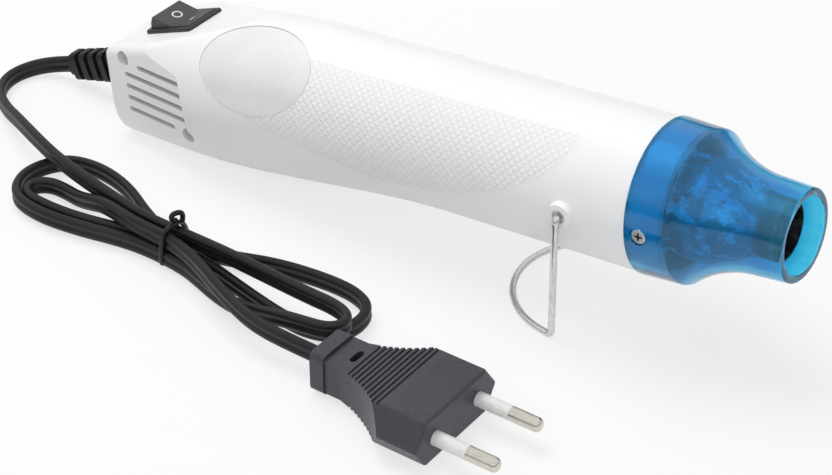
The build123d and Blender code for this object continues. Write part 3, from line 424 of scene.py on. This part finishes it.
# Wire stand: one length of bright stainless wire, bent to two legs and a half round foot. Its ends are
# sprung into the bosses on the casing, where it folds.
dress("bail", plated_metal(
    "bright_wire", light=(0.76, 0.75, 0.73), dark=(0.52, 0.51, 0.50),
    rough=0.08, scale=400.0, stretch=(5, 5, 1)))


# Strain relief and cord: a ribbed black boot on the casing's rear, and a flat twin cord with a groove
# along each face. The cord runs free from the boot, folds into a bundle of two loops that lies on the
# table, and runs on to the plug.
def black_jacket(name, rough, scale, depth):
    material, shader, place = finish(name, specular_ior_level=0.32)
    grain = place.noise(scale, 3.0)
    rub = place.noise(45.0, 3.0)
    rubbed = rub.step(0.35, 0.75) * 0.8
    feed(shader, base_color=rubbed.blend((0.008, 0.008, 0.010, 1), (0.017, 0.017, 0.020, 1)),
         roughness=rough + grain * 0.14 + rub * 0.08, normal=grain.bump(depth, 0.6))
    return material


dress("strain_relief", black_jacket("boot_rubber", rough=0.34, scale=1400.0, depth=0.04 * mm))
cord_black = black_jacket("cord_jacket", rough=0.30, scale=1100.0, depth=0.025 * mm)
dress("inner_cord", cord_black)
dress("cord_clamp", flecked(
    "clamp_moulding", light=(0.09, 0.09, 0.09), dark=(0.06, 0.06, 0.06),
    rough=0.45, scale=900.0, depth=0.03 * mm))

cord_width = 5.2 * mm
lobe_radius = 1.4 * mm
groove_half_angle = math.radians(42)
relief_tip = Vector((-123.79, 0, 6.17)) * mm
lower = 3.25
upper = 8.9
waist_rear = -43.7
waist_front = -31.7
lead_points = [
    (-129.5, 0, 4.3), (-136.3, -4.5, 2.9), (-138.7, -13.0, 2.6), (-134.6, -22.0, 2.9),
    (-125.0, -28.6, 4.2), (-113.9, -34.4, 7.0), (-102.7, -40.0, 8.9), (-90.2, -44.6, 8.9),
    (-77.2, -48.0, 8.9), (-63.7, -50.6, 8.9), (-51.5, -53.0, 8.9),
]
upper_loop = [
    (waist_rear, -53.4, upper), (waist_front, -53.4, upper), (-19.0, -53.5, upper),
    (-5.0, -54.3, upper), (10.0, -55.1, upper), (18.0, -55.1, upper), (24.0, -56.7, upper),
    (26.0, -60.6, upper), (23.2, -64.5, upper), (16.0, -65.8, upper),
]
lower_outer_loop = [
    (8.0, -65.8, 7.6), (0.0, -65.6, 5.4), (-8.0, -64.8, 3.7), (-16.0, -63.0, lower),
    (-23.5, -60.6, lower), (-31.0, -58.4, lower), (waist_rear, -57.5, lower), (-54.0, -58.4, lower),
    (-67.0, -61.4, lower), (-81.0, -62.9, lower), (-92.5, -60.2, lower), (-97.4, -50.0, lower),
    (-93.0, -38.8, lower), (-82.0, -35.8, lower), (-68.0, -38.6, lower), (-54.5, -46.0, lower),
    (waist_rear, -50.1, lower), (waist_front, -50.1, lower),
]
lower_inner_loop = [
    (-23.0, -48.4, lower), (-11.0, -43.8, lower), (2.0, -41.6, lower), (14.0, -41.3, lower),
    (21.9, -44.6, lower), (24.0, -51.8, lower), (21.5, -58.6, lower), (14.0, -61.5, lower),
    (5.0, -60.9, lower), (-5.0, -59.0, lower), (-15.0, -56.8, lower), (-24.0, -54.7, lower),
    (waist_front, -53.8, lower), (waist_rear, -53.8, lower), (-54.0, -55.0, lower),
    (-63.0, -57.3, lower), (-72.0, -58.8, lower), (-80.5, -59.2, lower), (-87.0, -58.8, lower),
    (-90.8, -56.6, lower), (-91.0, -52.6, lower), (-87.2, -49.9, lower), (-81.5, -49.9, lower),
]
climb = [
    (-75.8, -51.0, 3.6), (-70.0, -52.4, 5.6), (-64.0, -53.8, 8.0), (-58.0, -55.2, 8.8),
    (-51.0, -56.6, upper), (waist_rear, -57.0, upper),
]
tail_points = [
    (-37.5, -57.3, upper), (-30.5, -58.6, upper), (-22.0, -61.6, upper), (-13.0, -65.9, 8.9),
    (-4.0, -69.6, 8.7), (5.0, -71.8, 7.7), (15.5, -71.8, 6.85), (28.2, -71.8, 6.85),
]
route = lead_points + upper_loop + lower_outer_loop + lower_inner_loop + climb + tail_points
curve = bpy.data.curves.new("cord_line", "CURVE")
curve.dimensions = "3D"
curve.resolution_u = 10
curve.twist_mode = "Z_UP"
spline = curve.splines.new("NURBS")
spline.points.add(len(route))
spline.points[0].co = (*relief_tip, 1)
for point, place in zip(spline.points[1:], route):
    point.co = (*(Vector(place) * mm), 1)
spline.order_u = 3
spline.use_endpoint_u = True
guide = bpy.data.objects.new("cord_line", curve)
bpy.context.scene.collection.objects.link(guide)
centre_line = [point.co.copy() for point in bpy.data.meshes.new_from_object(guide).vertices]

# The cord's outline is drawn once as a closed line of two lobes and follows the centre line upright
profile = bpy.data.curves.new("cord_outline", "CURVE")
profile.dimensions = "2D"
outline = profile.splines.new("POLY")
lobe_centre = cord_width / 2 - lobe_radius
lobe_steps = 13
lobe_sweep = 2 * math.pi - 2 * groove_half_angle
lobe_points = []
for side in (1, -1):
    for step in range(lobe_steps):
        turn = groove_half_angle - math.pi / 2 + step / (lobe_steps - 1) * lobe_sweep
        turn += 0 if side > 0 else math.pi
        height = side * lobe_centre + lobe_radius * math.sin(turn)
        lobe_points.append((lobe_radius * math.cos(turn), height, 0, 1))
outline.points.add(len(lobe_points) - 1)
for point, place in zip(outline.points, lobe_points):
    point.co = place
outline.use_cyclic_u = True
outliner = bpy.data.objects.new("cord_outline", profile)
bpy.context.scene.collection.objects.link(outliner)
curve.bevel_mode = "OBJECT"
curve.bevel_object = outliner
curve.use_fill_caps = True
bpy.context.view_layer.update()
sheath = bpy.data.meshes.new_from_object(guide.evaluated_get(bpy.context.evaluated_depsgraph_get()))
sheath.name = "flat_cord"
bpy.data.objects.remove(guide)
bpy.data.objects.remove(outliner)
work = bmesh.new()
work.from_mesh(sheath)
bmesh.ops.remove_doubles(work, verts=work.verts, dist=0.01 * mm)
bmesh.ops.recalc_face_normals(work, faces=work.faces)
for face in work.faces:
    face.smooth = len(face.verts) < 5
work.to_mesh(sheath)
work.free()
sheath.materials.clear()
sheath.materials.append(cord_black)
flat_cord = bpy.data.objects.new("flat_cord", sheath)
bpy.context.scene.collection.objects.link(flat_cord)
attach(flat_cord, "casing")
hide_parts("cord_lead", "cord_hank", "cord_tail")


# Tie: a round black twist tie pulled once round the waist of the bundle. It follows the stepped outline
# of the cords, and its two ends are turned together to a small loop on top.
tie_station = -37.7
tie_radius = 0.75 * mm
tie_lean = 1.6
tie_height = 12
curl_front_points = 3
curl_back_share = 0.2
tie_outline = [
    (-55.5, 0.8), (-51.0, 0.8), (-48.3, 2.0), (-48.2, 5.0), (-49.6, 9.2), (-51.8, 12.2), (-55.0, 12.5),
    (-58.6, 12.4), (-59.3, 10.0), (-59.3, 3.0), (-58.6, 0.9),
]
tie_curl = [(-52.0, 12.3), (-51.2, 14.0), (-52.4, 15.9), (-54.6, 15.6), (-54.8, 13.8), (-53.0, 12.9)]


def round_wire(name, points, radius, closed):
    """A round wire along a smooth line, as a mesh."""
    line = bpy.data.curves.new(name, "CURVE")
    line.dimensions = "3D"
    line.bevel_depth = radius
    line.bevel_resolution = 3
    line.resolution_u = 6
    line.use_fill_caps = True
    run = line.splines.new("NURBS")
    run.points.add(len(points) - 1)
    for point, place in zip(run.points, points):
        point.co = (*(Vector(place) * mm), 1)
    run.order_u = 3
    run.use_cyclic_u = closed
    run.use_endpoint_u = not closed
    drawn = bpy.data.objects.new(name, line)
    bpy.context.scene.collection.objects.link(drawn)
    bpy.context.view_layer.update()
    mesh = bpy.data.meshes.new_from_object(drawn.evaluated_get(bpy.context.evaluated_depsgraph_get()))
    bpy.data.objects.remove(drawn)
    return mesh


tie_work = bmesh.new()
band = [
    (tie_station + tie_lean * (height / tie_height - 0.5), across, height)
    for across, height in tie_outline]
curl = [
    (tie_station + tie_lean * (1 if step < curl_front_points else curl_back_share), across, height)
    for step, (across, height) in enumerate(tie_curl)]
for points, closed in ((band, True), (curl, False)):
    tie_work.from_mesh(round_wire("tie_wire", points, tie_radius, closed))
bmesh.ops.remove_doubles(tie_work, verts=tie_work.verts, dist=0.001 * mm)
bmesh.ops.recalc_face_normals(tie_work, faces=tie_work.faces)
for face in tie_work.faces:
    face.smooth = True
tie_mesh = bpy.data.meshes.new("twist_tie")
tie_work.to_mesh(tie_mesh)
tie_work.free()
tie_mesh.materials.clear()
tie_mesh.materials.append(black_jacket("tie_plastic", rough=0.24, scale=900.0, depth=0.03 * mm))
twist_tie = bpy.data.objects.new("twist_tie", tie_mesh)
bpy.context.scene.collection.objects.link(twist_tie)
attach(twist_tie, "casing")
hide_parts("cord_tie")


# Plug: a flat two pin plug in slate grey, ridged for the fingers, with a flange where the cord goes in.
# Its nickel plated pins are bare at their ends and wear white sleeves at their roots.
dress("plug_body", flecked(
    "slate_plastic", light=(0.044, 0.047, 0.060), dark=(0.030, 0.032, 0.042),
    rough=0.44, scale=1500.0, depth=0.05 * mm))
dress("plug_pins", plated_metal(
    "nickel_plate", light=(0.74, 0.70, 0.62), dark=(0.58, 0.55, 0.50),
    rough=0.14, scale=700.0))
dress("pin_sleeves", flecked(
    "sleeve_plastic", light=(0.80, 0.80, 0.79), dark=(0.72, 0.72, 0.71),
    rough=0.4, scale=900.0, depth=0.02 * mm))


# Stage: a wide white table top under soft light, which shows white to the camera and in reflections and
# keeps the shadows. The camera stands ahead of the tool on its right side.
table_size = 6.0
table_glow = 0.7
clear_kinds = ("Is Camera Ray", "Is Glossy Ray", "Is Transmission Ray")


def table_top():
    material, shader, place = finish("table_top", roughness=0.6, base_color=(0.86, 0.86, 0.86, 1))
    rays = place.make("ShaderNodeLightPath")
    outputs = rays.socket.node.outputs
    seen = [Paint(rays.tree, outputs[name]) for name in clear_kinds]
    share = seen[0].math("MAXIMUM", seen[1]).math("MAXIMUM", seen[2]) * table_glow
    glow = place.make("ShaderNodeEmission", {}, {"Color": (1, 1, 1, 1), "Strength": 1.0})
    plain = Paint(place.tree, shader.outputs[0])
    mixed = place.make("ShaderNodeMixShader", {}, {0: share, 1: plain, 2: glow})
    surface = next(node for node in material.node_tree.nodes if node.type == "OUTPUT_MATERIAL")
    material.node_tree.links.new(mixed.socket, surface.inputs["Surface"])
    return material


top = bmesh.new()
bmesh.ops.create_grid(top, x_segments=1, y_segments=1, size=table_size / 2)
table_mesh = bpy.data.meshes.new("table")
top.to_mesh(table_mesh)
top.free()
table_mesh.materials.append(table_top())
table = bpy.data.objects.new("table", table_mesh)
bpy.context.scene.collection.objects.link(table)

world = bpy.data.worlds.new("soft_room")
bpy.context.scene.world = world
world.use_nodes = True
backdrop = next(node for node in world.node_tree.nodes if node.type == "BACKGROUND")
room_light = 0.5
glint_low = 0.04
glint_high = 0.40
glint_gain = 0.8
glint_dark = 0.35


def room_paint(kind, output):
    """An output of a new node in the room's own tree."""
    return Paint(world.node_tree, world.node_tree.nodes.new(kind).outputs[output])


# Glossy rays meet a dark band just above the table and a bright room over it, so that bare metal
# shows an edge
camera_ray, glossy_ray, clear_ray = [room_paint("ShaderNodeLightPath", name) for name in clear_kinds]
upwards = split(room_paint("ShaderNodeTexCoord", "Generated"))[2]
glint = glossy_ray * (upwards.step(glint_low, glint_high) * glint_gain - glint_dark)
strength = camera_ray.math("MAXIMUM", clear_ray) * (1 - room_light) + glint + room_light
backdrop.inputs["Color"].default_value = (1, 1, 1, 1)
world.node_tree.links.new(strength.socket, backdrop.inputs["Strength"])


def soft_lamp(name, place, target, power, size):
    data = bpy.data.lights.new(name, "AREA")
    data.energy = power
    data.size = size
    lamp = bpy.data.objects.new(name, data)
    lamp.location = place
    lamp.visible_glossy = False
    lamp.rotation_euler = (Vector(target) - Vector(place)).to_track_quat("-Z", "Y").to_euler()
    bpy.context.scene.collection.objects.link(lamp)


soft_lamp("key_lamp", place=(-0.30, 0.05, 0.85), target=(0, 0, 0), power=5.0, size=0.6)
soft_lamp("side_lamp", place=(0.45, -0.75, 0.55), target=(0, 0, 0.02), power=2.0, size=0.7)

camera_target = Vector((0.02635, -0.02965, 0.01974))
camera_azimuth = math.radians(35.92)
camera_height = math.radians(35.19)
camera_roll = math.radians(-0.30)
camera_distance = 0.64122
level = math.cos(camera_height)
back = Vector((math.sin(camera_azimuth) * level, -math.cos(camera_azimuth) * level, math.sin(camera_height)))
lens = bpy.data.cameras.new("camera")
lens.lens = 105.0
lens.sensor_width = 36.0
camera = bpy.data.objects.new("camera", lens)
turn = back.to_track_quat("Z", "Y").to_matrix() @ Matrix.Rotation(camera_roll, 3, "Z")
camera.matrix_world = Matrix.Translation(camera_target + back * camera_distance) @ turn.to_4x4()
bpy.context.scene.collection.objects.link(camera)
bpy.context.scene.camera = camera
bpy.context.scene.view_settings.view_transform = "Standard"
